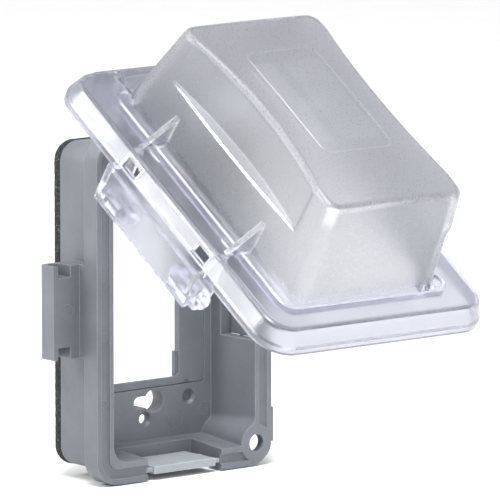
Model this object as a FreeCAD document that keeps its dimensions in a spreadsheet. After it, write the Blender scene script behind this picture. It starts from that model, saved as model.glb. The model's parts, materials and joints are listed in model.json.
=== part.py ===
"""Clear while-in-use weatherproof cover for a single-gang receptacle.

The frame: X is the width, Y points into the wall and Z is up. The origin is the centre of the
device opening, on the wall plane that the foam gasket rests on. Lengths are in millimetres.
Every stand-off is measured from the wall plane towards the front, which is -Y.
The cover is drawn closed, then swung open about its hinge line to the rest position.
"""
import FreeCAD
import Part
import Sketcher
import math
import os

DRIVING = {
    # base housing
    "base_width": 85.0,
    "base_height": 133.5,
    "base_corner": 10.0,
    "front_standoff": 32.0,
    "flange_depth": 8.0,
    "flange_overhang": 4.1,
    "box_corner": 8.0,
    "cavity_width": 69.0,
    "cavity_height": 117.0,
    "cavity_corner": 7.0,
    "cavity_draft": 1.9,
    "floor_standoff": 7.0,
    "channel_width": 3.8,
    "channel_depth": 1.0,
    "outer_bead": 2.3,
    # foam gasket
    "gasket_thickness": 4.0,
    "gasket_band": 9.0,
    "gasket_spread": 0.3,
    # device opening and insert plate
    "opening_width": 33.4,
    "opening_height": 66.8,
    "opening_corner": 2.0,
    "insert_width": 57.6,
    "insert_height": 72.4,
    "insert_corner": 1.5,
    "insert_lip": 1.4,
    "insert_gap": 0.3,
    "insert_ledge": 2.6,
    "stop_width": 1.4,
    "stop_height": 9.8,
    "pry_radius": 1.6,
    "pry_x": 20.5,
    # mounting holes
    "device_screw_pitch": 83.34,
    "cover_screw_pitch": 96.8,
    "box_screw_pitch": 43.0,
    "keyhole_head_radius": 4.6,
    "keyhole_slot": 4.6,
    "keyhole_travel": 4.4,
    "keyhole_seat": 3.0,
    "cover_screw_radius": 2.0,
    "countersink_radius": 3.0,
    "countersink_depth": 1.0,
    "dimple_floor": 0.8,
    "boss_radius": 5.8,
    "boss_end": 0.4,
    # padlock corner
    "padlock_x": 35.1,
    "padlock_z": 58.05,
    "padlock_radius": 3.5,
    "padlock_boss": 7.3,
    "padlock_boss_blend": 4.0,
    "padlock_relief": 5.2,
    "padlock_plate": 3.5,
    "padlock_skirt": 5.5,
    "padlock_collar": 5.4,
    "ear_width": 0.9,
    "ear_height": 22.0,
    # cord outlets
    "outlet_width": 36.0,
    "outlet_reach": 19.5,
    "outlet_overcut": 2.5,
    "tab_width": 29.6,
    "side_tab_width": 35.2,
    "tab_thickness": 3.0,
    "tab_inset": 2.1,
    "tab_gap": 0.5,
    "web_width": 1.6,
    "web_front": 3.2,
    "web_back": 14.0,
    # hinge
    "knuckle_reach": 12.5,
    "knuckle_length": 36.0,
    "knuckle_front": 21.2,
    "knuckle_back": 11.8,
    "knuckle_round": 3.0,
    "pin_reach": 7.3,
    "pin_standoff": 16.0,
    "pin_radius": 2.9,
    "pin_clearance": 0.06,
    "pin_entry": 3.0,
    "socket_length": 4.6,
    "open_angle": 56.4,
    # clear cover
    "cover_width": 108.0,
    "cover_height": 156.2,
    "cover_corner": 13.7,
    "wall": 2.2,
    "rim_standoff": 27.6,
    "rim_band": 2.6,
    "shoulder_rise": 9.8,
    "shoulder_inset": 3.4,
    "shoulder_round": 3.0,
    "dome_width": 70.8,
    "dome_top_width": 64.2,
    "dome_rise": 52.2,
    "dome_hinge_inset": 17.0,
    "dome_far_inset": 14.5,
    "dome_top_hinge_inset": 29.6,
    "dome_top_far_inset": 21.8,
    "dome_corner": 6.0,
    "dome_round": 3.2,
    "crown_rise": 1.6,
    "crown_radius": 900.0,
    "crown_shift": 3.9,
    "scoop_chord": 86.0,
    "scoop_depth": 4.0,
    "scoop_rise": 33.0,
    "scoop_ledge": 1.4,
    "scoop_shift": 1.9,
    "notch_radius": 9.0,
    "notch_rise": 34.0,
    "notch_shift_x": 2.6,
    "notch_shift_z": 2.4,
    "seal_rib": 1.6,
    "seal_gap": 0.4,
    "panel_width": 33.0,
    "panel_height": 58.0,
    "panel_corner": 4.0,
    "panel_depth": 0.9,
    "panel_shift": 0.8,
    # hinge arms of the cover
    "arm_spacing": 61.4,
    "arm_thickness": 2.6,
    "fin_rise": 24.0,
    "fin_drop": 2.6,
    "fin_lap": 1.0,
    "fin_root_left": 1.6,
    "fin_root_top": 5.4,
    "hook_tail": 2.0,
    "hook_chamfer": 1.0,
    "hook_throat": 3.0,
    "hub_gap": 1.0,
    "pin_end": 3.4,
    "rib_thickness": 4.0,
    "ledge_lap": 3.0,
    "slit_inset": 11.2,
    "slit_width": 1.6,
    "slit_length": 6.5,
    "window_depth": 6.0,
    "window_length": 8.5,
    "window_sill": 0.6,
    "coring_gap": 0.4,
    "apron_gap": 0.9,
    "apron_thickness": 1.9,
    "apron_drop": 13.9,
    "hook_radius": 4.6,
}

doc = FreeCAD.newDocument("InUseCover")
sheet = doc.addObject("Spreadsheet::Sheet", "Sizes")
for row, (alias, number) in enumerate(DRIVING.items(), start=1):
    sheet.set(f"A{row}", alias.replace("_", " "))
    sheet.set(f"B{row}", str(number))
    sheet.setAlias(f"B{row}", alias)
doc.recompute()


class Size:
    """A length that carries both its sheet formula and its present value."""

    def __init__(self, text, number):
        self.text = text
        self.number = number

    def join(self, other, sign, result):
        text = other.text if isinstance(other, Size) else repr(other)
        return Size(f"({self.text} {sign} {text})", result)

    def __add__(self, other):
        return self.join(other, "+", self.number + plain(other))

    def __sub__(self, other):
        return self.join(other, "-", self.number - plain(other))

    def __mul__(self, other):
        return self.join(other, "*", self.number * plain(other))

    def __truediv__(self, other):
        return self.join(other, "/", self.number / plain(other))

    def __neg__(self):
        return Size(f"(-1 * {self.text})", -self.number)


def plain(length):
    return length.number if isinstance(length, Size) else length


def size(alias):
    """The driving dimension with this alias, as a Size."""
    return Size(f"Sizes.{alias}", float(sheet.get(alias)))


def bind(item, path, length):
    """Bind one property of an object to a Size."""
    item.setExpression(path, length.text)


# ---- sketches -----------------------------------------------------------------------------

ZERO = Size("0", 0.0)
ORIGIN = (-1, 1)

# how far one feature runs into the next, so that they join or cut cleanly
JOIN = 0.5


def hold(sketch, kind, geometry, end, length):
    """Hold a point of a sketch at a signed distance from the sketch's origin."""
    ends = (*ORIGIN, geometry, end)
    shown = length
    if length.number < 0:
        ends = (geometry, end, *ORIGIN)
        shown = -length
    index = sketch.addConstraint(Sketcher.Constraint(kind, *ends, shown.number))
    sketch.setExpression(f"Constraints[{index}]", shown.text)


def draw_circle(sketch, x, z, radius):
    centre = FreeCAD.Vector(x.number, z.number, 0)
    circle = sketch.addGeometry(Part.Circle(centre, FreeCAD.Vector(0, 0, 1), radius.number))
    index = sketch.addConstraint(Sketcher.Constraint("Radius", circle, radius.number))
    sketch.setExpression(f"Constraints[{index}]", radius.text)
    hold(sketch, "DistanceX", circle, 3, x)
    hold(sketch, "DistanceY", circle, 3, z)


def draw_outline(sketch, points):
    """Draw a closed outline of straight lines through points given as pairs of Sizes."""
    places = [FreeCAD.Vector(x.number, z.number, 0) for x, z in points]
    lines = []
    for start, end in zip(places, places[1:] + places[:1]):
        lines.append(sketch.addGeometry(Part.LineSegment(start, end)))
    for line, following in zip(lines, lines[1:] + lines[:1]):
        sketch.addConstraint(Sketcher.Constraint("Coincident", line, 2, following, 1))
    for line, (x, z) in zip(lines, points):
        hold(sketch, "DistanceX", line, 1, x)
        hold(sketch, "DistanceY", line, 1, z)


def draw_box(sketch, left, right, bottom, top, corner=None):
    """Draw a rectangle held at its four sides, with round corners if a corner radius is given."""
    if corner is None:
        draw_outline(sketch, [(left, bottom), (right, bottom), (right, top), (left, top)])
        return
    r = corner.number
    low, high = bottom.number, top.number
    near, far = left.number, right.number
    stations = [
        (FreeCAD.Vector(near + r, low, 0), FreeCAD.Vector(far - r, low, 0), (far - r, low + r), 270),
        (FreeCAD.Vector(far, low + r, 0), FreeCAD.Vector(far, high - r, 0), (far - r, high - r), 0),
        (FreeCAD.Vector(far - r, high, 0), FreeCAD.Vector(near + r, high, 0), (near + r, high - r), 90),
        (FreeCAD.Vector(near, high - r, 0), FreeCAD.Vector(near, low + r, 0), (near + r, low + r), 180),
    ]
    sides = []
    arcs = []
    for start, end, (x, z), angle in stations:
        sides.append(sketch.addGeometry(Part.LineSegment(start, end)))
        circle = Part.Circle(FreeCAD.Vector(x, z, 0), FreeCAD.Vector(0, 0, 1), r)
        turn = Part.ArcOfCircle(circle, math.radians(angle), math.radians(angle + 90))
        arcs.append(sketch.addGeometry(turn))
    for side, arc, following in zip(sides, arcs, sides[1:] + sides[:1]):
        sketch.addConstraint(Sketcher.Constraint("Tangent", side, 2, arc, 1))
        sketch.addConstraint(Sketcher.Constraint("Tangent", arc, 2, following, 1))
    for arc in arcs[1:]:
        sketch.addConstraint(Sketcher.Constraint("Equal", arcs[0], arc))
    index = sketch.addConstraint(Sketcher.Constraint("Radius", arcs[0], r))
    sketch.setExpression(f"Constraints[{index}]", corner.text)
    for side in (sides[0], sides[2]):
        sketch.addConstraint(Sketcher.Constraint("Horizontal", side))
    for side in (sides[1], sides[3]):
        sketch.addConstraint(Sketcher.Constraint("Vertical", side))
    hold(sketch, "DistanceY", sides[0], 1, bottom)
    hold(sketch, "DistanceX", sides[1], 1, right)
    hold(sketch, "DistanceY", sides[2], 1, top)
    hold(sketch, "DistanceX", sides[3], 1, left)


def draw_centred(sketch, width, height, corner=None):
    draw_box(sketch, -width / 2, width / 2, -height / 2, height / 2, corner)


# ---- features of a body -------------------------------------------------------------------

def new_body(label):
    body = doc.addObject("PartDesign::Body", label)
    body.Label = label
    return body


def new_sketch(body, name, standoff=ZERO, plane="XZ_Plane"):
    """A sketch on one of the body's own planes, moved along that plane's normal."""
    sketch = body.newObject("Sketcher::SketchObject", name)
    for candidate in body.Origin.OriginFeatures:
        if candidate.Role == plane:
            sketch.AttachmentSupport = [(candidate, "")]
    sketch.MapMode = "FlatFace"
    bind(sketch, "AttachmentOffset.Base.z", standoff)
    return sketch


def finish(feature, before):
    """Recompute, and refuse a feature that is not valid or leaves the solid as it was."""
    doc.recompute()
    if not feature.Shape.isValid():
        raise RuntimeError(f"{feature.Label} is not a valid solid")
    if abs(feature.Shape.Volume - before) < 1e-3:
        raise RuntimeError(f"{feature.Label} changes nothing")
    return feature


def solid_volume(body):
    doc.recompute()
    return body.Shape.Volume if not body.Shape.isNull() else 0.0


def pad(body, sketch, length):
    """Pad towards the front, which is the way the XZ plane's normal points."""
    before = solid_volume(body)
    feature = body.newObject("PartDesign::Pad", sketch.Name + "Pad")
    feature.Profile = sketch
    bind(feature, "Length", length)
    sketch.Visibility = False
    return finish(feature, before)


def pocket(body, sketch, length, taper=0):
    """Cut from the sketch towards the wall, narrowing by a taper in degrees."""
    before = solid_volume(body)
    feature = body.newObject("PartDesign::Pocket", sketch.Name + "Pocket")
    feature.Profile = sketch
    feature.TaperAngle = -taper
    bind(feature, "Length", length)
    return finish(feature, before)


def edges_where(shape, test):
    """Numbers of the edges whose bounding box passes a test, counted from one."""
    return [number for number, edge in enumerate(shape.Edges, start=1) if test(edge.BoundBox)]


def round_edges(body, name, radius, test):
    """Round the edges of a body's last feature that pass a test."""
    before = solid_volume(body)
    feature = body.Tip
    numbers = edges_where(feature.Shape, test)
    if not numbers:
        raise RuntimeError(f"{name} finds no edge")
    fillet = body.newObject("PartDesign::Fillet", name)
    fillet.Base = (feature, [f"Edge{number}" for number in numbers])
    bind(fillet, "Radius", radius)
    return finish(fillet, before)


# ---- base housing -------------------------------------------------------------------------

COUNTERSINK_TAPER = 44

half_width = size("base_width") / 2
half_height = size("base_height") / 2
front = size("front_standoff")
overhang = size("flange_overhang")
flange_back = front - size("flange_depth")
gasket = size("gasket_thickness")
floor_front = size("floor_standoff")
box_half_width = half_width - overhang
box_half_height = half_height - overhang
cavity_half_width = size("cavity_width") / 2
cavity_half_height = size("cavity_height") / 2
padlock_x = size("padlock_x")
padlock_z = -size("padlock_z")
knuckle_half = size("knuckle_length") / 2
pin_radius = size("pin_radius")
pin_reach = size("pin_reach")
pin_standoff = size("pin_standoff")


def knuckle_outline(sketch, side, reach_from, reach_to, along):
    """A rectangle beside the left edge or above the top edge of the base."""
    if side == "left":
        draw_box(sketch, -half_width - reach_to, -half_width + reach_from, -along, along)
    else:
        draw_box(sketch, -along, along, half_height - reach_from, half_height + reach_to)


def knuckle_back_edge(side):
    """A test for the outermost back edge of a knuckle, which the cover's apron swings past."""
    back = -size("knuckle_back").number
    reach = size("knuckle_reach").number
    outermost = (half_width if side == "left" else half_height).number + reach

    def test(box):
        at_back = abs(box.YMin - back) < 0.01 and abs(box.YMax - back) < 0.01
        at_edge = box.XMax < 0.01 - outermost if side == "left" else box.ZMin > outermost - 0.01
        return at_back and at_edge

    return test


def padlock_boss_root(box):
    """A test for the edge where the padlock boss leaves the right-hand wall of the cavity."""
    boss_top = padlock_z.number + size("padlock_boss").number
    beside_wall = box.XMin > padlock_x.number - 4 and box.XMax < padlock_x.number + 1
    return box.YLength > 20 and beside_wall and box.ZMin > boss_top - 2 and box.ZMax < boss_top + 1


def make_base():
    base = new_body("base_housing")

    box = new_sketch(base, "BoxOutline", gasket)
    draw_centred(box, box_half_width * 2, box_half_height * 2, size("box_corner"))
    pad(base, box, front - gasket)

    flange = new_sketch(base, "FlangeOutline", flange_back)
    draw_centred(flange, half_width * 2, half_height * 2, size("base_corner"))
    pad(base, flange, size("flange_depth"))

    ear = new_sketch(base, "PadlockEar", flange_back)
    ear_top = -half_height + size("ear_height")
    draw_box(ear, half_width - size("ear_height") / 2, half_width + size("ear_width"), padlock_z, ear_top)
    pad(base, ear, size("flange_depth"))

    for side in ("left", "top"):
        knuckle = new_sketch(base, side.capitalize() + "Knuckle", size("knuckle_back"))
        knuckle_outline(knuckle, side, overhang + JOIN, size("knuckle_reach"), knuckle_half)
        pad(base, knuckle, size("knuckle_front") - size("knuckle_back"))
        root = new_sketch(base, side.capitalize() + "KnuckleRoot", size("knuckle_back"))
        knuckle_outline(root, side, overhang + JOIN, ZERO, knuckle_half)
        pad(base, root, flange_back - size("knuckle_back"))
        round_edges(base, side.capitalize() + "KnuckleRound", size("knuckle_round"), knuckle_back_edge(side))

    # the cavity narrows a little towards its floor
    mouth = new_sketch(base, "CavityMouth", front)
    draw_centred(mouth, size("cavity_width"), size("cavity_height"), size("cavity_corner"))
    ground = new_sketch(base, "CavityGround", floor_front)
    draft = size("cavity_draft")
    draw_centred(ground, size("cavity_width") - draft * 2, size("cavity_height") - draft * 2,
                 size("cavity_corner") - draft)
    before = solid_volume(base)
    cavity = base.newObject("PartDesign::SubtractiveLoft", "Cavity")
    cavity.Profile = mouth
    cavity.Sections = [ground]
    cavity.Ruled = True
    finish(cavity, before)

    # a channel between two beads takes the cover's sealing rib
    channel = new_sketch(base, "SealChannel", front)
    bead = size("outer_bead")
    draw_centred(channel, (half_width - bead) * 2, (half_height - bead) * 2, size("base_corner") - bead)
    inner = half_width - bead - size("channel_width")
    inner_z = half_height - bead - size("channel_width")
    draw_centred(channel, inner * 2, inner_z * 2, size("base_corner") - bead - size("channel_width"))
    pocket(base, channel, size("channel_depth"))

    boss = new_sketch(base, "PadlockBoss", floor_front - JOIN)
    draw_circle(boss, padlock_x, padlock_z, size("padlock_boss"))
    pad(base, boss, front - floor_front + JOIN)
    # behind a thin plate the corner is open to the side, so that a shackle can pass
    behind_plate = front - size("padlock_plate")
    relief = new_sketch(base, "PadlockRelief", behind_plate)
    draw_circle(relief, padlock_x, padlock_z, size("padlock_relief"))
    pocket(base, relief, behind_plate - floor_front)
    way_out = new_sketch(base, "ShackleWay", behind_plate)
    draw_box(way_out, padlock_x, half_width + 2, padlock_z - size("padlock_skirt"),
             padlock_z + size("padlock_relief"))
    pocket(base, way_out, behind_plate - floor_front)
    padlock = new_sketch(base, "PadlockHole", front + 1)
    draw_circle(padlock, padlock_x, padlock_z, size("padlock_radius"))
    pocket(base, padlock, size("padlock_plate") + 2)
    round_edges(base, "PadlockBossBlend", size("padlock_boss_blend"), padlock_boss_root)

    make_floor(base)
    make_outlets(base)
    make_sockets(base)
    return base


def make_floor(base):
    # a boss round each keyhole's head reaches back through the gasket to the wall
    screw_z = size("device_screw_pitch") / 2
    cover_z = size("cover_screw_pitch") / 2
    box_x = size("box_screw_pitch") / 2
    head_x = size("keyhole_travel")
    bosses = new_sketch(base, "ScrewBosses", size("boss_end"))
    for sign in (-1, 1):
        draw_circle(bosses, head_x, screw_z * sign, size("boss_radius"))
    pad(base, bosses, gasket - size("boss_end") + JOIN)

    window = new_sketch(base, "InsertWindow", floor_front + 1)
    ledge = size("insert_ledge") * 2
    draw_centred(window, size("insert_width") - ledge, size("insert_height") - ledge, size("insert_corner"))
    pocket(base, window, floor_front + 1)
    rebate = new_sketch(base, "InsertRebate", floor_front)
    gap = size("insert_gap") * 2
    draw_centred(rebate, size("insert_width") + gap, size("insert_height") + gap, size("insert_corner"))
    pocket(base, rebate, size("insert_lip"))

    heads = new_sketch(base, "KeyholeHeads", floor_front)
    slots = new_sketch(base, "KeyholeSlots", floor_front)
    seats = new_sketch(base, "KeyholeSeats", floor_front)
    covers = new_sketch(base, "CoverScrewHoles", floor_front)
    dimples = new_sketch(base, "BoxScrewDimples", floor_front)
    sinks = new_sketch(base, "Countersinks", floor_front)
    for sign in (-1, 1):
        draw_circle(heads, head_x, screw_z * sign, size("keyhole_head_radius"))
        half_slot = size("keyhole_slot") / 2
        draw_box(slots, -size("keyhole_seat"), head_x, screw_z * sign - half_slot, screw_z * sign + half_slot)
        draw_circle(seats, -size("keyhole_seat"), screw_z * sign, half_slot)
        draw_circle(covers, ZERO, cover_z * sign, size("cover_screw_radius"))
        draw_circle(sinks, ZERO, cover_z * sign, size("countersink_radius"))
        for side in (-1, 1):
            draw_circle(dimples, box_x * side, screw_z * sign, size("cover_screw_radius"))
            draw_circle(sinks, box_x * side, screw_z * sign, size("countersink_radius"))
    pocket(base, heads, floor_front)
    pocket(base, slots, floor_front)
    pocket(base, seats, floor_front)
    pocket(base, covers, floor_front)
    pocket(base, dimples, floor_front - gasket - size("dimple_floor"))
    pocket(base, sinks, size("countersink_depth"), COUNTERSINK_TAPER)


def make_outlets(base):
    """Notches for the cord tabs, one in the bottom wall and one in the right-hand wall."""
    half_outlet = size("outlet_width") / 2
    reach = size("outlet_reach")
    overcut = size("outlet_overcut")
    bottom = new_sketch(base, "BottomOutlet", front)
    draw_box(bottom, -half_outlet, half_outlet, -half_height - 1, -cavity_half_height + overcut)
    pocket(base, bottom, reach)
    right = new_sketch(base, "RightOutlet", front)
    draw_box(right, cavity_half_width - overcut, half_width + 1, -half_outlet, half_outlet)
    pocket(base, right, reach)


def make_sockets(base):
    """A pin socket at each end of each knuckle, open to the front and to the end."""
    channel_radius = pin_radius + size("pin_clearance")
    inner_end = knuckle_half - size("socket_length")
    outer_end = knuckle_half + 1
    for side in ("left", "top"):
        bores = new_sketch(base, side.capitalize() + "SocketMouths", size("knuckle_front") + 1)
        for sign in (-1, 1):
            ends = sorted((inner_end * sign, outer_end * sign), key=plain)
            centre = pin_reach
            if side == "left":
                draw_box(bores, -half_width - centre - channel_radius,
                         -half_width - centre + channel_radius, *ends)
            else:
                draw_box(bores, *ends, half_height + centre - channel_radius,
                         half_height + centre + channel_radius)
        pocket(base, bores, size("knuckle_front") + 1 - pin_standoff)
        plane = "XY_Plane" if side == "left" else "YZ_Plane"
        for sign in (-1, 1):
            start = inner_end if sign > 0 else -outer_end
            name = side.capitalize() + ("FarSeat" if sign > 0 else "NearSeat")
            seat = new_sketch(base, name, start, plane)
            if side == "left":
                draw_circle(seat, -half_width - pin_reach, -pin_standoff, channel_radius)
            else:
                draw_circle(seat, -pin_standoff, half_height + pin_reach, channel_radius)
            before = solid_volume(base)
            seat_cut = base.newObject("PartDesign::Pocket", seat.Name + "Pocket")
            seat_cut.Profile = seat
            seat_cut.Reversed = True
            bind(seat_cut, "Length", outer_end - inner_end)
            finish(seat_cut, before)


# ---- insert plate, gasket and cord tabs ---------------------------------------------------

def make_insert():
    """A snap-in plate with the device opening; its side rails pass through the base's floor."""
    plate = new_body("device_insert_plate")
    half = size("insert_width") / 2
    half_z = size("insert_height") / 2
    lip = size("insert_lip")
    margin = size("insert_ledge") + size("insert_gap")
    opening_half = size("opening_width") / 2
    opening_half_z = size("opening_height") / 2
    outline = new_sketch(plate, "PlateOutline", floor_front - lip)
    draw_centred(outline, half * 2, half_z * 2, size("insert_corner"))
    pad(plate, outline, lip)
    rails = new_sketch(plate, "SideRails", gasket + size("insert_gap"))
    rail_z = half_z - margin
    draw_box(rails, -half + margin, -opening_half, -rail_z, rail_z)
    draw_box(rails, opening_half, half - margin, -rail_z, rail_z)
    pad(plate, rails, floor_front - gasket - lip)
    opening = new_sketch(plate, "DeviceOpening", floor_front)
    draw_centred(opening, size("opening_width"), size("opening_height"), size("opening_corner"))
    pocket(plate, opening, floor_front)
    stops = new_sketch(plate, "CornerStops", gasket + size("insert_gap"))
    inner = opening_half - size("stop_width")
    for left, right in ((-opening_half - 1, -inner), (inner, opening_half + 1)):
        draw_box(stops, left, right, -rail_z, -rail_z + size("stop_height"))
        draw_box(stops, left, right, rail_z - size("stop_height"), rail_z)
    pad(plate, stops, floor_front - gasket - lip)
    notches = new_sketch(plate, "PryNotches", floor_front)
    for side in (-1, 1):
        for end in (-1, 1):
            draw_circle(notches, size("pry_x") * side, half_z * end, size("pry_radius"))
    pocket(plate, notches, lip / 2)
    return plate


def make_gasket():
    ring = new_body("foam_gasket")
    outline = new_sketch(ring, "GasketOutline", ZERO)
    spread = size("gasket_spread")
    draw_centred(outline, (box_half_width + spread) * 2, (box_half_height + spread) * 2, size("box_corner"))
    band = size("gasket_band")
    draw_centred(outline, (box_half_width - band) * 2, (box_half_height - band) * 2, size("insert_corner"))
    pad(ring, outline, gasket)
    return ring


def make_cord_tab(label, edge_name):
    """A snap-out tab held in its notch by two thin webs that reach both sides of the notch."""
    tab = new_body(label)
    half = size("tab_width" if edge_name == "bottom" else "side_tab_width") / 2
    half_outlet = size("outlet_width") / 2
    depth = size("outlet_reach") - size("tab_gap")
    edge = (half_height if edge_name == "bottom" else half_width) - size("tab_inset")
    inner = edge - size("tab_thickness")
    middle = edge - size("tab_thickness") / 2
    half_web = size("web_width") / 2

    def draw(sketch, reach, low, high):
        if edge_name == "bottom":
            draw_box(sketch, -reach, reach, -high, -low)
        else:
            draw_box(sketch, low, high, -reach, reach)

    plate = new_sketch(tab, "TabPlate", front - depth)
    draw(plate, half, inner, edge)
    pad(tab, plate, depth)
    for name in ("web_front", "web_back"):
        web = new_sketch(tab, name.title().replace("_", ""), front - size(name))
        draw(web, half_outlet, middle - half_web, middle + half_web)
        pad(tab, web, size("web_width"))
    return tab


# ---- clear cover --------------------------------------------------------------------------

rim = size("rim_standoff")
wall = size("wall")
cover_half_width = size("cover_width") / 2
cover_half_height = size("cover_height") / 2
shoulder_rise = size("shoulder_rise")
FORWARD = FreeCAD.Rotation(FreeCAD.Vector(1, 0, 0), 90)


def add(kind, name, **links):
    item = doc.addObject(kind, name)
    for key, value in links.items():
        setattr(item, key, value)
    return item


def level_sketch(name, rise):
    """A sketch parallel to the rim plane at this rise in front of it, on the closed cover."""
    sketch = doc.addObject("Sketcher::SketchObject", name)
    sketch.Placement = FreeCAD.Placement(FreeCAD.Vector(0, 0, 0), FORWARD)
    bind(sketch, "Placement.Base.y", -rim - rise)
    return sketch


def forward_solid(kind, name, x, rise, z, **lengths):
    """A cylinder, cone, box or sphere whose own +Z points to the front of the closed cover."""
    item = doc.addObject(kind, name)
    for key, length in lengths.items():
        bind(item, key, length)
    item.Placement = FreeCAD.Placement(FreeCAD.Vector(0, 0, 0), FORWARD)
    bind(item, "Placement.Base.x", x)
    bind(item, "Placement.Base.y", -rim - rise)
    bind(item, "Placement.Base.z", z)
    return item


def block(name, left, right, low, high, bottom, top):
    """A box between two widths, two rises and two heights of the closed cover."""
    item = doc.addObject("Part::Box", name)
    bind(item, "Length", right - left)
    bind(item, "Width", high - low)
    bind(item, "Height", top - bottom)
    bind(item, "Placement.Base.x", left)
    bind(item, "Placement.Base.y", -rim - high)
    bind(item, "Placement.Base.z", bottom)
    return item


def loft(name, sketches):
    return add("Part::Loft", name, Sections=sketches, Solid=True, Ruled=True)


def fuse(name, shapes):
    return add("Part::MultiFuse", name, Shapes=shapes)


def cut(name, base, tool):
    return add("Part::Cut", name, Base=base, Tool=tool)


def skirt(name, inset, floor_rise, top_rise, shoulder_inset):
    """The skirt's outer solid, or its hollow when the inset is the wall thickness."""
    sketches = []
    steps = ((floor_rise, inset), (size("rim_band"), inset), (top_rise, shoulder_inset))
    for index, (rise, step) in enumerate(steps):
        sketch = level_sketch(f"{name}Level{index}", rise)
        draw_centred(sketch, (cover_half_width - step) * 2, (cover_half_height - step) * 2,
                     size("cover_corner") - step)
        sketches.append(sketch)
    return loft(name, sketches)


def scoop(name, side, inset):
    """A shallow hollow along one side of the dome, with a nearly flat ledge below it."""
    chord = size("scoop_chord")
    depth = size("scoop_depth")
    radius = (chord * chord / 8) / depth + depth / 2
    taper = size("dome_width") / 2 - size("dome_top_width") / 2
    rise = size("scoop_rise") - inset
    step = size("scoop_ledge")
    face = size("dome_width") / 2 - taper / 2 - depth
    x = (face + radius) * side
    z = -size("scoop_shift")
    reach = radius + inset
    ledge = forward_solid("Part::Cone", name + "Ledge", x, rise - step, z,
                          Radius1=reach - depth - JOIN, Radius2=reach, Height=step)
    upper = forward_solid("Part::Cone", name + "Upper", x, rise, z,
                          Radius1=reach, Radius2=reach + taper / 2, Height=size("dome_rise") - rise + 8)
    return fuse(name, [ledge, upper])


def corner_notch(name, inset, floor_rise):
    """The rounded hollow in the dome's far right corner that makes room for the padlock."""
    radius = size("notch_radius") + inset
    x = padlock_x + size("notch_shift_x")
    z = padlock_z - size("notch_shift_z")
    top = size("notch_rise")
    column = forward_solid("Part::Cylinder", name + "Column", x, floor_rise, z,
                           Radius=radius, Height=top - floor_rise)
    peak = forward_solid("Part::Cone", name + "Peak", x, top, z,
                         Radius1=radius, Radius2=radius * 0.02, Height=radius * 0.8)
    return fuse(name, [column, peak])


def dome(name, inset, floor_rise, crown):
    """The dome's outer solid, or its hollow when the inset is the wall thickness."""
    levels = (
        (floor_rise, size("dome_width") / 2, size("dome_hinge_inset"), size("dome_far_inset")),
        (size("dome_rise") + 5, size("dome_top_width") / 2, size("dome_top_hinge_inset"),
         size("dome_top_far_inset")),
    )
    sketches = []
    for index, (rise, half, hinge_inset, far_inset) in enumerate(levels):
        sketch = level_sketch(f"{name}Level{index}", rise)
        draw_box(sketch, -half + inset, half - inset, -cover_half_height + far_inset + inset,
                 cover_half_height - hinge_inset - inset, size("dome_corner") - inset * 0.6)
        sketches.append(sketch)
    walls = loft(name + "Walls", sketches)
    radius = size("crown_radius")
    sphere = forward_solid("Part::Sphere", name + "Crown", ZERO, crown - radius, -size("crown_shift"),
                           Radius=radius)
    capped = add("Part::MultiCommon", name + "Capped", Shapes=[walls, sphere])
    scoops = [scoop(name + "ScoopLeft", -1, inset), scoop(name + "ScoopRight", 1, inset)]
    notch = corner_notch(name + "Notch", inset, shoulder_rise if inset is ZERO else floor_rise)
    return cut(name, capped, fuse(name + "Hollows", [*scoops, notch]))


def rounded(name, base, radius, test):
    doc.recompute()
    edges = edges_where(base.Shape, test)
    fillet = doc.addObject("Part::Fillet", name)
    fillet.Base = base
    fillet.Edges = [(number, radius.number, radius.number) for number in edges]
    doc.recompute()
    return fillet


def make_cover_shell():
    skirt_outer = skirt("SkirtOuter", ZERO, ZERO, shoulder_rise, size("shoulder_inset"))
    shoulder = -(rim + shoulder_rise).number
    skirt_round = rounded("SkirtRound", skirt_outer, size("shoulder_round"),
                          lambda box: box.YMax < shoulder + 0.01)
    skirt_inner = skirt("SkirtInner", wall, ZERO - 1, shoulder_rise - wall,
                        size("shoulder_inset") + wall - 0.9)
    crown = size("dome_rise") + size("crown_rise")
    dome_outer = dome("DomeOuter", ZERO, shoulder_rise - 1.5, crown)
    apex = -(rim + size("dome_rise")).number
    dome_round = rounded("DomeRound", dome_outer, size("dome_round"),
                         lambda box: box.YMax < apex + 2.5)
    dome_inner = dome("DomeInner", wall, shoulder_rise - wall - 0.5, crown - wall)
    outside = fuse("CoverOutside", [skirt_round, dome_round])
    inside = fuse("CoverInside", [skirt_inner, dome_inner])
    return cut("CoverShell", outside, inside)


# ---- hinge arms, sealing rib and small features of the cover ------------------------------

def side_box(name, side, near, far, low, high, start, end):
    """A box given by its distance out from the middle, its rise and its place along the side."""
    if side == "left":
        return block(name, -far, -near, low, high, start, end)
    return block(name, start, end, low, high, near, far)


def arm_rod(name, side, reach, rise, start, end, radius):
    """A round rod along one side of the cover, given by its distance out and its rise."""
    rod = doc.addObject("Part::Cylinder", name)
    bind(rod, "Radius", radius)
    bind(rod, "Height", end - start)
    bind(rod, "Placement.Base.y", -rim - rise)
    if side == "left":
        bind(rod, "Placement.Base.x", -reach)
        bind(rod, "Placement.Base.z", start)
        return rod
    rod.Placement = FreeCAD.Placement(FreeCAD.Vector(0, 0, 0), FreeCAD.Rotation(FreeCAD.Vector(0, 1, 0), 90))
    bind(rod, "Placement.Base.x", start)
    bind(rod, "Placement.Base.y", -rim - rise)
    bind(rod, "Placement.Base.z", reach)
    return rod


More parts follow.
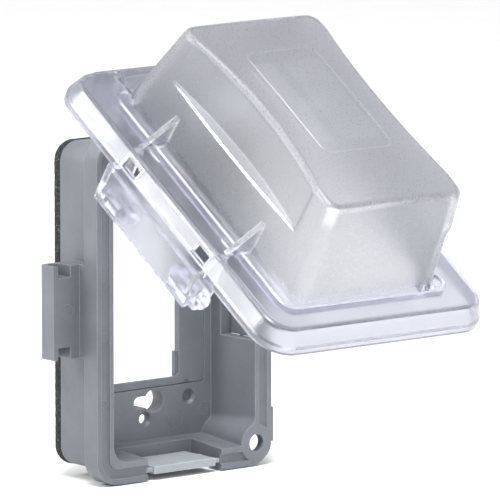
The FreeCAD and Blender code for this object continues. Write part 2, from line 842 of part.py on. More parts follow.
def fin(name, side, wall_reach, outer, hook_reach, pin_rise, start):
    """A thin web from the dome's wall out over the rim and down to the hinge pin."""
    thickness = size("arm_thickness")
    inner = hook_reach - size("hook_radius")
    points = (
        (wall_reach, size("fin_rise")),
        (outer, ZERO - size("fin_drop")),
        (outer, pin_rise),
        (hook_reach + size("hook_tail"), pin_rise - size("hook_radius")),
        (inner + size("hook_chamfer"), pin_rise - size("hook_radius")),
        (inner, pin_rise + size("hook_throat")),
        (inner, shoulder_rise - size("fin_lap")),
        (wall_reach, shoulder_rise - size("fin_lap")),
    )
    sketch = doc.addObject("Sketcher::SketchObject", name + "Outline")
    if side == "left":
        turn = FreeCAD.Rotation(FreeCAD.Vector(0, 0, 1), 0)
        outline = [(-reach, -rim - rise) for reach, rise in points]
        sketch.Placement = FreeCAD.Placement(FreeCAD.Vector(0, 0, 0), turn)
        bind(sketch, "Placement.Base.z", start)
    else:
        axes = (FreeCAD.Vector(0, 1, 0), FreeCAD.Vector(0, 0, 1), FreeCAD.Vector(1, 0, 0))
        turn = FreeCAD.Rotation(*axes, "ZXY")
        outline = [(-rim - rise, reach) for reach, rise in points]
        sketch.Placement = FreeCAD.Placement(FreeCAD.Vector(0, 0, 0), turn)
        bind(sketch, "Placement.Base.x", start)
    draw_outline(sketch, outline)
    web = add("Part::Extrusion", name, Base=sketch, DirMode="Normal", Solid=True)
    bind(web, "LengthFwd", thickness)
    return web


def make_hinge_side(side):
    """The two arms, their pins and the apron between them on one side of the cover."""
    edge = half_width if side == "left" else half_height
    rim_edge = cover_half_width if side == "left" else cover_half_height
    dome_edge = (size("dome_width") / 2 - size("fin_root_left") if side == "left"
                 else cover_half_height - size("dome_hinge_inset") - size("fin_root_top"))
    hook_reach = edge + pin_reach
    pin_rise = pin_standoff - rim
    apron_inner = edge + size("knuckle_reach") + size("apron_gap")
    apron_outer = apron_inner + size("apron_thickness")
    half_spacing = size("arm_spacing") / 2
    half_arm = size("arm_thickness") / 2
    hub_inner = knuckle_half + size("hub_gap")
    rib_half = size("rib_thickness") / 2
    pin_inner = knuckle_half - size("pin_entry")
    stem = side.capitalize()
    solids = [
        side_box(stem + "Apron", side, apron_inner, apron_outer, -size("apron_drop"), size("rim_band"),
                 -half_spacing - half_arm, half_spacing + half_arm),
        side_box(stem + "ApronLedge", side, rim_edge - size("ledge_lap"), apron_outer, ZERO, size("rim_band"),
                 -half_spacing - half_arm, half_spacing + half_arm),
    ]
    for sign, place in ((-1, "Near"), (1, "Far")):
        start = half_spacing * sign - half_arm
        solids.append(fin(f"{stem}{place}Fin", side, dome_edge, apron_outer, hook_reach, pin_rise, start))
        for rod, inner, outer, radius in (
            ("Hub", hub_inner, half_spacing, size("hook_radius")),
            ("Pin", pin_inner, half_spacing + size("pin_end"), pin_radius),
        ):
            ends = sorted((inner * sign, outer * sign), key=plain)
            solids.append(arm_rod(f"{stem}{place}{rod}", side, hook_reach, pin_rise, *ends, radius))
        ends = sorted((hub_inner * sign, half_spacing * sign), key=plain)
        solids.append(side_box(f"{stem}{place}Rib", side, hook_reach, apron_inner + JOIN,
                               pin_rise - rib_half, pin_rise + rib_half, *ends))
    return solids


def make_coring(side):
    """Small openings through the shoulder beside each arm, over the pins."""
    rim_edge = cover_half_width if side == "left" else cover_half_height
    inner_end = size("arm_spacing") / 2 - size("arm_thickness") / 2 - size("coring_gap")
    slit_outer = rim_edge - size("slit_inset")
    holes = []
    for sign, place in ((-1, "Near"), (1, "Far")):
        slit = sorted((inner_end * sign, (inner_end - size("slit_length")) * sign), key=plain)
        holes.append(side_box(f"{side}{place}Slit", side, slit_outer - size("slit_width"), slit_outer,
                              shoulder_rise - wall - JOIN, shoulder_rise + JOIN, *slit))
        window = sorted((inner_end * sign, (inner_end - size("window_length")) * sign), key=plain)
        holes.append(side_box(f"{side}{place}Window", side, rim_edge - size("window_depth"), rim_edge + 1,
                              size("rim_band") + size("window_sill"),
                              shoulder_rise - wall - size("coring_gap"), *window))
    return holes


def make_cover():
    shell = make_cover_shell()
    rib_edge = size("outer_bead") + size("channel_width") / 2 - size("seal_rib") / 2
    rib_rise = front - rim + size("seal_gap")
    rib_sketch = level_sketch("SealRibOutline", rib_rise)
    for inset in (rib_edge, rib_edge + size("seal_rib")):
        draw_centred(rib_sketch, (half_width - inset) * 2, (half_height - inset) * 2,
                     size("base_corner") - inset)
    rib = add("Part::Extrusion", "SealRib", Base=rib_sketch, DirMode="Normal", Solid=True)
    bind(rib, "LengthFwd", shoulder_rise - rib_rise - 0.8)
    collar = forward_solid("Part::Cylinder", "PadlockCollar", padlock_x, rib_rise, padlock_z,
                           Radius=size("padlock_collar"), Height=shoulder_rise - rib_rise - 0.6)
    body = fuse("CoverBody", [shell, rib, collar, *make_hinge_side("left"), *make_hinge_side("top")])

    hole = forward_solid("Part::Cylinder", "CoverPadlockHole", padlock_x, ZERO, padlock_z,
                         Radius=size("padlock_radius"), Height=shoulder_rise + 4)
    panel_sketch = level_sketch("PanelOutline", size("dome_rise") + size("crown_rise") - size("panel_depth"))
    half = size("panel_width") / 2
    draw_box(panel_sketch, -half, half, size("panel_shift") - size("panel_height") / 2,
             size("panel_shift") + size("panel_height") / 2, size("panel_corner"))
    panel = add("Part::Extrusion", "PanelRecess", Base=panel_sketch, DirMode="Normal", Solid=True)
    bind(panel, "LengthFwd", size("panel_depth") + 3)
    openings = fuse("CoverOpenings", [hole, panel, *make_coring("left"), *make_coring("top")])
    cover = cut("clear_cover", body, openings)
    cover.Label = "clear_cover"
    hinge_line = FreeCAD.Vector(0, -pin_standoff.number, (half_height + pin_reach).number)
    swing = FreeCAD.Rotation(FreeCAD.Vector(-1, 0, 0), size("open_angle").number)
    doc.recompute()
    cover.Placement = FreeCAD.Placement(FreeCAD.Vector(0, 0, 0), swing, hinge_line)
    return cover


# ---- build, check and write ---------------------------------------------------------------

parts = [
    make_base(),
    make_insert(),
    make_gasket(),
    make_cord_tab("cord_tab_bottom", "bottom"),
    make_cord_tab("cord_tab_side", "right"),
    make_cover(),
]
doc.recompute()

for item in doc.Objects:
    if any(word in item.State for word in ("Invalid", "Error")):
        raise RuntimeError(f"{item.Name} is {item.State}")
for item in parts:
    if item.Shape.isNull() or not item.Shape.isValid() or len(item.Shape.Solids) != 1:
        raise RuntimeError(f"{item.Label} is not one valid solid")

os.makedirs("parts", exist_ok=True)
for item in parts:
    item.Shape.exportStep(os.path.join("parts", item.Label + ".step"))
    print(item.Label, round(item.Shape.Volume))
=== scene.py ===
"""Looks for a clear while-in-use receptacle cover: moulded grey base, foam gasket and clear lid."""

import json
import math

import bmesh
import bpy
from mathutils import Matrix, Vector, noise


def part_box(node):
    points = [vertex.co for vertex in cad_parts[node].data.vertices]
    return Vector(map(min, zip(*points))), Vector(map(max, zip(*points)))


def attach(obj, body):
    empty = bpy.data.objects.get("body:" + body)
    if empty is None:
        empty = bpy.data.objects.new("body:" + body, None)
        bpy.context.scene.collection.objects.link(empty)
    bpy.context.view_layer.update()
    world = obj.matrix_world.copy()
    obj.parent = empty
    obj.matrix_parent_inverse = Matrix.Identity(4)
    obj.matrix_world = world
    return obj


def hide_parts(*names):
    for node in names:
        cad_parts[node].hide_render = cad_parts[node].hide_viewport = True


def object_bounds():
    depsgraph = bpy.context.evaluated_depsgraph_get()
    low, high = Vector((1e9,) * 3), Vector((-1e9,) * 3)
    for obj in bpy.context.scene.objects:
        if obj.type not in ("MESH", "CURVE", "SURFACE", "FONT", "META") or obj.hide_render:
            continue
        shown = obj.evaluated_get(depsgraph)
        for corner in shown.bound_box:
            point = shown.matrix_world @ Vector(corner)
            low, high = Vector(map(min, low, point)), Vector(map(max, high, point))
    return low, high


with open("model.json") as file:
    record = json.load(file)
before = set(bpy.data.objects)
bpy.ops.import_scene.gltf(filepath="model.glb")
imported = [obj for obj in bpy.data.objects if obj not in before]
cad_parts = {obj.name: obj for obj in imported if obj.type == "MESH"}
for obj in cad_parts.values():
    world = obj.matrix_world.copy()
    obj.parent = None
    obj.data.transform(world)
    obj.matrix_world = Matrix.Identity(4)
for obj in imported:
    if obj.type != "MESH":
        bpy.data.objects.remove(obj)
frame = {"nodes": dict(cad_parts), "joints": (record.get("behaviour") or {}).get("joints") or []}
cad_low, cad_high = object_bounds()
middle = (cad_low + cad_high) / 2
base_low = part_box("base_housing")[0]
plate_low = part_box("device_insert_plate")[0]

MM = 0.001


# ---- sizes and places ---------------------------------------------------------------------

# The lid's hinge, and the turn that closes the lid from where it stands at rest.
HINGE = frame["joints"][0]
HINGE_POINT = Vector(HINGE["pos_m"])
SWING = math.radians(-HINGE["range_deg"][0])

# Features of the closed lid. A rise is a height in front of the plane that the rim lies in.
RIM_STANDOFF = 27.6 * MM
DOME_FOOT = 11.0 * MM
DOME_FOOT_SOFTNESS = 2.5 * MM
RIDGE_FOOT = 41.0 * MM
RIDGE_FOOT_SOFTNESS = 5.0 * MM
TOP_RISE = 51.0 * MM
TOP_DEPTH = 2.0 * MM

# The window in the dome's top: two bars, each with its middle in X and its half width.
WINDOW_MIDDLE_Z = 0.8 * MM
WINDOW_BAR_HALF_LENGTH = 22.0 * MM
WINDOW_BARS = ((-11.5 * MM, 3.4 * MM), (6.0 * MM, 8.0 * MM))
WINDOW_EDGE = 1.6 * MM

# How wide the painted edge highlights are.
CLEAR_EDGE = 1.3 * MM
GREY_EDGE = 0.7 * MM

# The foam ring.
GASKET_BAND = 9.3 * MM
GASKET_CORNER = 8.0 * MM
FOAM_STEP = 0.9 * MM
FOAM_PIT = 0.16 * MM
FOAM_PITS_PER_METRE = 900
FOAM_ROUND = 0.45 * MM
FOAM_EDGE_REACH = FOAM_ROUND * 1.2
FOAM_EDGE_STEPS = 7
FOAM_FACE_STEPS = 9
LEAST_SIDE_POINTS = 2
LEAST_CORNER_POINTS = 4

# Ejector marks. Heights are from the foot of the base. Where X varies, a mark is (x, height, radius).
BEZEL_X = -38.5 * MM
BEZEL_SET_BACK = 1.0 * MM
BEZEL_MARK_RADIUS = 1.6 * MM
BEZEL_MARK_HEIGHTS = (77.6 * MM, 57.3 * MM, 31.8 * MM)
CAVITY_MARKS = ((15.0 * MM, 17.0 * MM, 3.5 * MM), (29.4 * MM, 19.7 * MM, 2.5 * MM))
KNUCKLE_FRONT_Y = -21.2 * MM
KNUCKLE_MARK = (-48.6 * MM, 67.0 * MM, 2.9 * MM)
BEAD_HEIGHT = 0.10 * MM
BEAD_HALF_WIDTH = BEAD_HEIGHT * 1.4
BEAD_STEPS_AROUND = 40
BEAD_STEPS_ACROSS = 8

# The stage, in metres.
FLOOR_REACH = 3.0
FLOOR_HALF_WIDTH = 4.5
FLOOR_GAP = 0.5 * MM
SWEEP_RADIUS = 1.2
SWEEP_STEPS = 16

# The camera. Angles are in degrees, focal length and sensor in millimetres of the lens.
VIEW_AZIMUTH = -38.8
VIEW_ELEVATION = 8.9
VIEW_DISTANCE = 3.32
AIM_FROM_MIDDLE = Vector((9.3 * MM, 17.4 * MM, 0.5 * MM))
FOCAL_LENGTH = 630
SENSOR_WIDTH = 36
CLIP_START = 0.1
CLIP_END = 50


# ---- colours and finishes -----------------------------------------------------------------

HOUSING_DARK = (0.112, 0.123, 0.139)
HOUSING_LIGHT = (0.148, 0.161, 0.180)
# Painted light: a lighter copy of the moulded grey for the bottom tab, standing in for the light its
# up-facing shelf catches from above.
TAB_DARK = (0.250, 0.268, 0.290)
TAB_LIGHT = (0.340, 0.360, 0.385)
FOAM_SKIN = (0.012, 0.012, 0.014)
FOAM_SPECK = (0.13, 0.13, 0.145)
CLEAR_RIM = (0.575, 0.585, 0.655)
CLEAR_DOME = (0.61, 0.617, 0.655)
CLEAR_LIT_EDGE = (0.90, 0.91, 0.955)
CLEAR_GRAZING = (0.44, 0.44, 0.60)
FLOOR_DARK = (0.93, 0.93, 0.93)
FLOOR_LIGHT = (0.96, 0.96, 0.96)
WHITE = (1.0, 1.0, 1.0)

PLASTIC_IOR = 1.49

# The span that most of a noise's values fill.
NOISE_SPAN = (0.3, 0.7)

# Grey plastic: each change is to its own roughness, and a relief is beside the fine grain's.
FLOW_SHARE = 0.7
FLOW_SPAN = (0.32, 0.68)
RUBBED_BY = 0.06
DULLED_BY = 0.09
PATCH_RELIEF = 0.5
GREY_EDGE_GAIN = 1.9
GREY_EDGE_SHARE = 0.55

# Foam: a relief is beside that of its small cells.
SPECK_SPAN = (0.56, 0.70)
CELL_SPAN = (0.1, 0.7)
FOAM_ROUGHNESS = (0.98, 0.78)
LARGE_CELL_RELIEF = 1.4

# Clear plastic: a lean is the sideways part of a face's normal.
FROSTED_ROUGHNESS = (0.26, 0.40)
POLISHED_ROUGHNESS = (0.17, 0.25)
POLISHED_RELIEF = 0.02
STIPPLED_RELIEF = 0.20
RIPPLE_RELIEF = 2.0
WINDOW_SMOOTHING = 0.9
WINDOW_LIGHT = 0.22
RIDGE_LIGHT = 0.85
RIDGE_LEAN_FROM = (0.22, 0.45)
RIDGE_LEAN_TO = (0.80, 0.93)
GRAZING_SPAN = (0.62, 0.98)
GRAZING_SHARE = 0.85

STUDIO_STRENGTH = 0.80


# ---- materials ----------------------------------------------------------------------------

class Paint:
    """A node material with short calls for adding and joining nodes."""

    def __init__(self, name):
        self.material = bpy.data.materials.new(name)
        self.material.use_nodes = True
        self.tree = self.material.node_tree
        self.shader = self.tree.nodes["Principled BSDF"]

    def add(self, kind, **settings):
        node = self.tree.nodes.new(kind)
        for key, value in settings.items():
            setattr(node, key, value)
        return node

    def join(self, source, target):
        self.tree.links.new(source, target)

    def feed(self, value, socket):
        """Join an output to a socket, or set a plain number or colour on it."""
        if isinstance(value, bpy.types.NodeSocket):
            self.join(value, socket)
        elif isinstance(value, tuple):
            socket.default_value = (*value, 1.0)
        else:
            socket.default_value = value

    def set(self, **values):
        """Feed the shader's own sockets, named with underscores for spaces."""
        for key, value in values.items():
            self.feed(value, self.shader.inputs[key.replace("_", " ")])

    def local(self):
        """Positions on the piece itself, in metres, which move with it."""
        return self.add("ShaderNodeTexCoord").outputs["Object"]

    def maths(self, operation, a, b=0.0):
        node = self.add("ShaderNodeMath", operation=operation)
        self.feed(a, node.inputs[0])
        self.feed(b, node.inputs[1])
        return node.outputs[0]

    def spread(self, value, low, high, to_low=0.0, to_high=1.0):
        """Map a value from one span to another, easing in and out."""
        node = self.add("ShaderNodeMapRange", interpolation_type="SMOOTHSTEP")
        for socket, number in zip(node.inputs, (value, low, high, to_low, to_high)):
            self.feed(number, socket)
        return node.outputs[0]

    def mix(self, kind, factor, first, second):
        """Blend two numbers (FLOAT) or two colours (RGBA)."""
        node = self.add("ShaderNodeMix", data_type=kind)
        for name, value in (("Factor", factor), ("A", first), ("B", second)):
            self.feed(value, node.inputs[name])
        return node.outputs["Result"]

    def clouds(self, place, scale, detail=3.0, roughness=0.5):
        node = self.add("ShaderNodeTexNoise")
        self.join(place, node.inputs["Vector"])
        node.inputs["Scale"].default_value = scale
        node.inputs["Detail"].default_value = detail
        node.inputs["Roughness"].default_value = roughness
        return node.outputs["Fac"]

    def cells(self, place, scale):
        node = self.add("ShaderNodeTexVoronoi")
        self.join(place, node.inputs["Vector"])
        node.inputs["Scale"].default_value = scale
        return node.outputs["Distance"]

    def softened_normal(self, radius, samples):
        bevel = self.add("ShaderNodeBevel", samples=samples)
        bevel.inputs["Radius"].default_value = radius
        return bevel.outputs["Normal"]

    def edges(self, radius, flat, sharp):
        """One along the edges and tight folds of the shape, fading to zero on its faces."""
        turn = self.add("ShaderNodeVectorMath", operation="DOT_PRODUCT")
        self.join(self.softened_normal(radius, samples=8), turn.inputs[0])
        self.join(self.add("ShaderNodeNewGeometry").outputs["Normal"], turn.inputs[1])
        return self.spread(turn.outputs["Value"], flat, sharp)

    def bump(self, height, distance, strength, soft_edge=None):
        """Fine relief, over edges that are softened by a small radius."""
        node = self.add("ShaderNodeBump")
        node.inputs["Distance"].default_value = distance
        self.feed(strength, node.inputs["Strength"])
        self.join(height, node.inputs["Height"])
        if soft_edge:
            self.join(self.softened_normal(soft_edge, samples=6), node.inputs["Normal"])
        self.set(Normal=node.outputs["Normal"])


def moulded_grey(name, dark, light, roughness, grain):
    """Satin moulded plastic: slow flow marks, fine grain, patchy gloss, and edges lightened as painted
    highlights.
    """
    paint = Paint(name)
    place = paint.local()
    flow = paint.clouds(place, scale=38.0, detail=4.0, roughness=0.55)
    fine = paint.clouds(place, scale=2400.0, detail=2.0)
    patches = paint.clouds(place, scale=120.0, detail=5.0, roughness=0.6)
    tone = paint.maths("ADD", paint.maths("MULTIPLY", flow, FLOW_SHARE),
                       paint.maths("MULTIPLY", fine, 1.0 - FLOW_SHARE))
    colour = paint.mix("RGBA", paint.spread(tone, *FLOW_SPAN), dark, light)
    # Painted highlight: the edges are lightened in the base colour, standing in for light caught on the
    # rounded edges.
    edge_highlight_colour = tuple(channel * GREY_EDGE_GAIN for channel in light)
    painted_highlight_share = paint.maths("MULTIPLY", paint.edges(GREY_EDGE, flat=0.985, sharp=0.86), GREY_EDGE_SHARE)
    paint.set(Base_Color=paint.mix("RGBA", painted_highlight_share, colour, edge_highlight_colour), IOR=PLASTIC_IOR)
    paint.set(Roughness=paint.spread(patches, *NOISE_SPAN, roughness - RUBBED_BY, roughness + DULLED_BY))
    height = paint.maths("ADD", fine, paint.maths("MULTIPLY", patches, PATCH_RELIEF))
    paint.bump(height, distance=0.05 * MM, strength=grain, soft_edge=0.55 * MM)
    return paint.material


def foam_black():
    """Cut closed-cell foam: open cells on the skin, with pale specks where they catch light."""
    paint = Paint("closed_cell_foam")
    place = paint.local()
    cells = paint.cells(place, scale=1100.0)
    large = paint.cells(place, scale=420.0)
    # Painted glints: pale specks in the foam's colour, standing in for cells that catch light.
    speck_glint_noise = paint.clouds(place, scale=900.0, detail=4.0, roughness=0.7)
    paint.set(Base_Color=paint.mix("RGBA", paint.spread(speck_glint_noise, *SPECK_SPAN), FOAM_SKIN, FOAM_SPECK))
    paint.set(Roughness=paint.spread(cells, *CELL_SPAN, *FOAM_ROUGHNESS))
    height = paint.maths("ADD", cells, paint.maths("MULTIPLY", large, LARGE_CELL_RELIEF))
    paint.bump(height, distance=0.5 * MM, strength=0.9)
    return paint.material


def lid_directions(paint, place):
    """Positions on the closed lid: across it, its rise in front of the rim, and along it."""
    closed = paint.add("ShaderNodeVectorRotate", rotation_type="X_AXIS")
    paint.join(place, closed.inputs["Vector"])
    closed.inputs["Center"].default_value = HINGE_POINT
    closed.inputs["Angle"].default_value = SWING
    parts = paint.add("ShaderNodeSeparateXYZ")
    paint.join(closed.outputs["Vector"], parts.inputs[0])
    rise = paint.maths("SUBTRACT", paint.maths("MULTIPLY", parts.outputs["Y"], -1.0), RIM_STANDOFF)
    return parts.outputs["X"], rise, parts.outputs["Z"]


def window_bars(paint, across, rise, along):
    """One inside the two bars of the window in the dome's top, and zero elsewhere."""
    off_middle = paint.maths("ABSOLUTE", paint.maths("SUBTRACT", along, WINDOW_MIDDLE_Z))
    past_end = paint.maths("MAXIMUM", paint.maths("SUBTRACT", off_middle, WINDOW_BAR_HALF_LENGTH), 0.0)
    off_bars = 1.0
    for middle_x, half_width in WINDOW_BARS:
        aside = paint.maths("ABSOLUTE", paint.maths("SUBTRACT", across, middle_x))
        past_side = paint.maths("MAXIMUM", paint.maths("SUBTRACT", aside, half_width), 0.0)
        squares = paint.maths("ADD", paint.maths("POWER", past_side, 2.0),
                              paint.maths("POWER", past_end, 2.0))
        away = paint.maths("SQRT", squares)
        off_bars = paint.maths("MINIMUM", off_bars, paint.spread(away, 0.0, WINDOW_EDGE))
    below_top = paint.spread(rise, TOP_RISE - TOP_DEPTH, TOP_RISE, 1.0, 0.0)
    return paint.maths("SUBTRACT", 1.0, paint.maths("MAXIMUM", off_bars, below_top))


def long_ridges(paint, rise):
    """One on the slanted faces of the dome's long ridges, and zero elsewhere."""
    facing = paint.add("ShaderNodeSeparateXYZ")
    paint.join(paint.add("ShaderNodeTexCoord").outputs["Normal"], facing.inputs[0])
    sideways = paint.maths("ABSOLUTE", facing.outputs["X"])
    slanted = paint.maths("MULTIPLY", paint.spread(sideways, *RIDGE_LEAN_FROM),
                          paint.spread(sideways, *RIDGE_LEAN_TO, 1.0, 0.0))
    high_up = paint.spread(rise, RIDGE_FOOT, RIDGE_FOOT + RIDGE_FOOT_SOFTNESS)
    return paint.maths("MULTIPLY", slanted, high_up)


def lit_edges(paint, rise, on_dome, in_bars):
    """How much light the plastic gathers: on the dome's edges and ridges, and a little in the bars."""
    ridge = paint.maths("MULTIPLY", long_ridges(paint, rise), RIDGE_LIGHT)
    edge = paint.maths("MAXIMUM", paint.edges(CLEAR_EDGE, flat=0.995, sharp=0.93), ridge)
    return paint.maths("MAXIMUM", paint.maths("MULTIPLY", edge, on_dome),
                       paint.maths("MULTIPLY", in_bars, WINDOW_LIGHT))


def clear_polycarbonate():
    """Clear plastic: polished rim and shoulder, finely frosted and stippled dome."""
    paint = Paint("clear_polycarbonate")
    place = paint.local()
    across, rise, along = lid_directions(paint, place)
    on_dome = paint.spread(rise, DOME_FOOT, DOME_FOOT + DOME_FOOT_SOFTNESS)
    in_bars = window_bars(paint, across, rise, along)
    stipple = paint.clouds(place, scale=1500.0, detail=3.0, roughness=0.6)
    ripple = paint.clouds(place, scale=70.0, detail=1.0)

    frost = paint.spread(stipple, *NOISE_SPAN, *FROSTED_ROUGHNESS)
    polish = paint.spread(ripple, *NOISE_SPAN, *POLISHED_ROUGHNESS)
    paint.set(Roughness=paint.mix("FLOAT", on_dome, polish, frost))

    tint = paint.mix("RGBA", on_dome, CLEAR_RIM, CLEAR_DOME)
    caught = paint.mix("RGBA", lit_edges(paint, rise, on_dome, in_bars), tint, CLEAR_LIT_EDGE)
    # Painted darkening: the tint turns darker lilac at grazing angles, standing in for light's longer path
    # through the plastic.
    facing = paint.add("ShaderNodeLayerWeight")
    facing.inputs["Blend"].default_value = 0.5
    grazing = paint.spread(facing.outputs["Facing"], *GRAZING_SPAN, 0.0, GRAZING_SHARE)
    paint.set(Base_Color=paint.mix("RGBA", grazing, caught, CLEAR_GRAZING))
    paint.set(Transmission_Weight=0.95, IOR=PLASTIC_IOR, Coat_Weight=0.12, Coat_Roughness=0.12)

    stippled = paint.maths("SUBTRACT", on_dome, paint.maths("MULTIPLY", in_bars, WINDOW_SMOOTHING))
    strength = paint.spread(stippled, 0.0, 1.0, POLISHED_RELIEF, STIPPLED_RELIEF)
    height = paint.maths("ADD", stipple, paint.maths("MULTIPLY", ripple, RIPPLE_RELIEF))
    paint.bump(height, distance=0.10 * MM, strength=strength)
    return paint.material


def dress(name, material):
    """Give a CAD node its material."""
    node = frame["nodes"][name]
    node.data.materials.clear()
    node.data.materials.append(material)


housing_grey = moulded_grey("moulded_grey", HOUSING_DARK, HOUSING_LIGHT, roughness=0.40, grain=0.30)
# Painted light: the bottom tab's lighter grey stands in for light falling on it from above.
tab_grey_painted_lit = moulded_grey("moulded_grey_tab_painted_lit", TAB_DARK, TAB_LIGHT, roughness=0.55, grain=0.60)
dress("base_housing", housing_grey)
dress("device_insert_plate", housing_grey)
dress("cord_tab_bottom", tab_grey_painted_lit)
dress("cord_tab_side", housing_grey)
dress("clear_cover", clear_polycarbonate())

# Light passes through the clear cover, so it does not shade the base below it.
frame["nodes"]["clear_cover"].visible_shadow = False


# ---- pieces -------------------------------------------------------------------------------

def new_piece(name, mesh_builder, material, body):
    """A smooth-shaded piece that rides on a body of the frame."""
    mesh = bpy.data.meshes.new(name)
    bm = bmesh.new()
    mesh_builder(bm)
    bmesh.ops.recalc_face_normals(bm, faces=bm.faces)
    for face in bm.faces:
        face.smooth = True
    bm.to_mesh(mesh)
    bm.free()
    mesh.materials.append(material)
    piece = bpy.data.objects.new(name, mesh)
    bpy.context.scene.collection.objects.link(piece)
    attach(piece, body)
    return piece


def join_rings(bm, rings):
    """Faces between each ring of points and the next, the last joined to the first."""
    for ring, following in zip(rings, rings[1:] + rings[:1]):
        for index in range(len(ring)):
            after = (index + 1) % len(ring)
            bm.faces.new((ring[index], ring[after], following[after], following[index]))


def rounded_loop(half_width, half_height, corner, step):
    """Points round a rectangle with round corners, as (x, z, outward x, outward z)."""
    loop = []
    straight_x = 2 * (half_width - corner)
    straight_z = 2 * (half_height - corner)
    sides = (
        (half_width, -half_height + corner, 0, 1, 0, straight_z),
        (half_width - corner, half_height, -1, 0, 90, straight_x),
        (-half_width, half_height - corner, 0, -1, 180, straight_z),
        (-half_width + corner, -half_height, 1, 0, 270, straight_x),
    )
    for x, z, along_x, along_z, degrees, length in sides:
        facing = math.radians(degrees)
        count = max(LEAST_SIDE_POINTS, round(length / step))
        for index in range(count):
            travel = length * index / count
            loop.append((x + along_x * travel, z + along_z * travel, math.cos(facing), math.sin(facing)))
        centre_x = x + along_x * length - math.cos(facing) * corner
        centre_z = z + along_z * length - math.sin(facing) * corner
        turns = max(LEAST_CORNER_POINTS, round(corner * math.pi / 2 / step))
        for index in range(turns):
            angle = facing + math.pi / 2 * index / turns
            loop.append((centre_x + math.cos(angle) * corner, centre_z + math.sin(angle) * corner,
                         math.cos(angle), math.sin(angle)))
    return loop


def foam_section(front_y, wall_y):
    """The foam ring's section, as (reach outward from its outer edge, y), with crowned cut edges."""
    edge = []
    for index in range(FOAM_EDGE_STEPS + 1):
        share = index / FOAM_EDGE_STEPS
        tuck = FOAM_ROUND * abs(2 * share - 1) ** 3
        edge.append((tuck, front_y + (wall_y - front_y) * share))
    band = [-GASKET_BAND * index / FOAM_FACE_STEPS for index in range(1, FOAM_FACE_STEPS)]
    outer = [(-tuck, y) for tuck, y in edge]
    inner = [(-GASKET_BAND + tuck, y) for tuck, y in reversed(edge)]
    on_wall = [(reach, wall_y) for reach in band]
    on_front = [(reach, front_y) for reach in reversed(band)]
    return outer + on_wall + inner + on_front


def build_gasket(bm):
    """A die-cut foam ring whose cut edges are pitted and slightly crowned."""
    low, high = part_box("foam_gasket")
    centre_x = (low.x + high.x) / 2
    centre_z = (low.z + high.z) / 2
    half_width = (high.x - low.x) / 2 - FOAM_PIT
    half_height = (high.z - low.z) / 2 - FOAM_PIT
    section = foam_section(low.y, high.y)
    rings = []
    for x, z, out_x, out_z in rounded_loop(half_width, half_height, GASKET_CORNER, FOAM_STEP):
        ring = []
        for reach, y in section:
            place = Vector((centre_x + x + out_x * reach, y, centre_z + z + out_z * reach))
            if min(abs(reach), abs(reach + GASKET_BAND)) < FOAM_EDGE_REACH:
                pit = noise.noise(place * FOAM_PITS_PER_METRE) * FOAM_PIT
                place.x += out_x * pit
                place.z += out_z * pit
            ring.append(bm.verts.new(place))
        rings.append(ring)
    join_rings(bm, rings)


def ring_of_bead(bm, centre, radius):
    """A closed ring with a low half-round section, facing the front."""
    rings = []
    for index in range(BEAD_STEPS_AROUND):
        angle = 2 * math.pi * index / BEAD_STEPS_AROUND
        ring = []
        for step in range(BEAD_STEPS_ACROSS):
            turn = 2 * math.pi * step / BEAD_STEPS_ACROSS
            reach = radius + math.cos(turn) * BEAD_HALF_WIDTH
            offset = Vector((math.cos(angle) * reach, -math.sin(turn) * BEAD_HEIGHT, math.sin(angle) * reach))
            ring.append(bm.verts.new(centre + offset))
        rings.append(ring)
    join_rings(bm, rings)


def build_marks(bm):
    """Shallow rings that the mould's ejector pins leave on the bezel, cavity floor and knuckle."""
    for height in BEZEL_MARK_HEIGHTS:
        bezel = Vector((BEZEL_X, base_low.y + BEZEL_SET_BACK, base_low.z + height))
        ring_of_bead(bm, bezel, BEZEL_MARK_RADIUS)
    for x, height, radius in CAVITY_MARKS:
        ring_of_bead(bm, Vector((x, plate_low.y, base_low.z + height)), radius)
    x, height, radius = KNUCKLE_MARK
    ring_of_bead(bm, Vector((x, KNUCKLE_FRONT_Y, base_low.z + height)), radius)


gasket = new_piece("gasket_foam", build_gasket, foam_black(), "base")
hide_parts("foam_gasket")
new_piece("ejector_marks", build_marks, housing_grey, "base")


# ---- stage, light and camera --------------------------------------------------------------

def pale_stage():
    """Pale from above and in front; clear from behind, so that the object shows from every side."""
    paint = Paint("pale_floor")
    grain = paint.clouds(paint.local(), scale=60.0)
    paint.set(Base_Color=paint.mix("RGBA", grain, FLOOR_DARK, FLOOR_LIGHT), Roughness=0.9)
    shown = paint.add("ShaderNodeMixShader")
    paint.join(paint.add("ShaderNodeNewGeometry").outputs["Backfacing"], shown.inputs[0])
    paint.join(paint.shader.outputs[0], shown.inputs[1])
    paint.join(paint.add("ShaderNodeBsdfTransparent").outputs[0], shown.inputs[2])
    paint.join(shown.outputs[0], paint.tree.nodes["Material Output"].inputs["Surface"])
    return paint.material


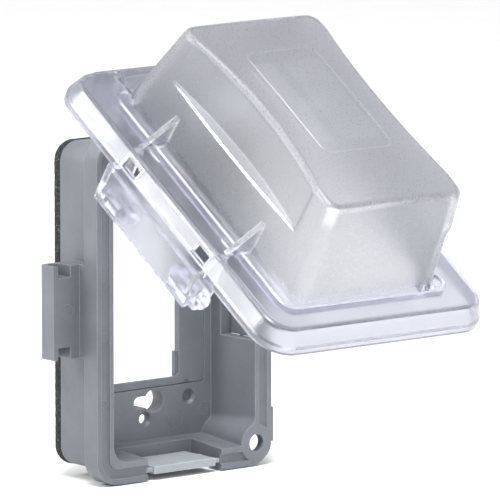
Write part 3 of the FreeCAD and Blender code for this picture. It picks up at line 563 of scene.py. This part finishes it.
def build_floor():
    """A wide floor that sweeps up behind the object."""
    profile = [(-FLOOR_REACH, 0.0), (FLOOR_REACH, 0.0)]
    for index in range(1, SWEEP_STEPS + 1):
        angle = math.pi / 2 * index / SWEEP_STEPS
        profile.append((FLOOR_REACH + math.sin(angle) * SWEEP_RADIUS, (1 - math.cos(angle)) * SWEEP_RADIUS))
    profile.append((FLOOR_REACH + SWEEP_RADIUS, FLOOR_REACH))
    bm = bmesh.new()
    rows = [[bm.verts.new((x, y, z + cad_low.z - FLOOR_GAP)) for x in (-FLOOR_HALF_WIDTH, FLOOR_HALF_WIDTH)]
            for y, z in profile]
    for row, following in zip(rows, rows[1:]):
        bm.faces.new((row[0], row[1], following[1], following[0]))
    mesh = bpy.data.meshes.new("floor")
    bm.to_mesh(mesh)
    bm.free()
    mesh.materials.append(pale_stage())
    floor = bpy.data.objects.new("floor", mesh)
    bpy.context.scene.collection.objects.link(floor)


def direction(azimuth, elevation):
    """The way out from the object at these angles, in degrees; azimuth 0 is the front."""
    a = math.radians(azimuth)
    e = math.radians(elevation)
    return Vector((math.sin(a) * math.cos(e), -math.cos(a) * math.cos(e), math.sin(e)))


def put_facing(item, place, looking):
    """Add a light or camera to the scene at a place, looking along a direction."""
    bpy.context.scene.collection.objects.link(item)
    item.location = place
    item.rotation_mode = "QUATERNION"
    item.rotation_quaternion = looking.to_track_quat("-Z", "Y")


def soft_light(name, azimuth, elevation, distance, size, power):
    """An area light that looks at the middle of the object."""
    light = bpy.data.lights.new(name, "AREA")
    light.size = size
    light.energy = power
    outward = direction(azimuth, elevation)
    put_facing(bpy.data.objects.new(name, light), middle + outward * distance, -outward)


def white_studio():
    world = bpy.data.worlds.new("studio")
    world.use_nodes = True
    background = world.node_tree.nodes["Background"]
    background.inputs["Color"].default_value = (*WHITE, 1.0)
    background.inputs["Strength"].default_value = STUDIO_STRENGTH
    bpy.context.scene.world = world
    bpy.context.scene.view_settings.view_transform = "Standard"


def set_camera():
    lens = bpy.data.cameras.new("camera")
    lens.lens = FOCAL_LENGTH
    lens.sensor_width = SENSOR_WIDTH
    lens.dof.use_dof = False
    lens.clip_start = CLIP_START
    lens.clip_end = CLIP_END
    camera = bpy.data.objects.new("camera", lens)
    outward = direction(VIEW_AZIMUTH, VIEW_ELEVATION)
    put_facing(camera, middle + AIM_FROM_MIDDLE + outward * VIEW_DISTANCE, -outward)
    bpy.context.scene.camera = camera


build_floor()
soft_light("key", azimuth=-50, elevation=66, distance=1.5, size=0.6, power=23)
soft_light("left", azimuth=-114, elevation=30, distance=1.7, size=0.7, power=13.5)
white_studio()
set_camera()
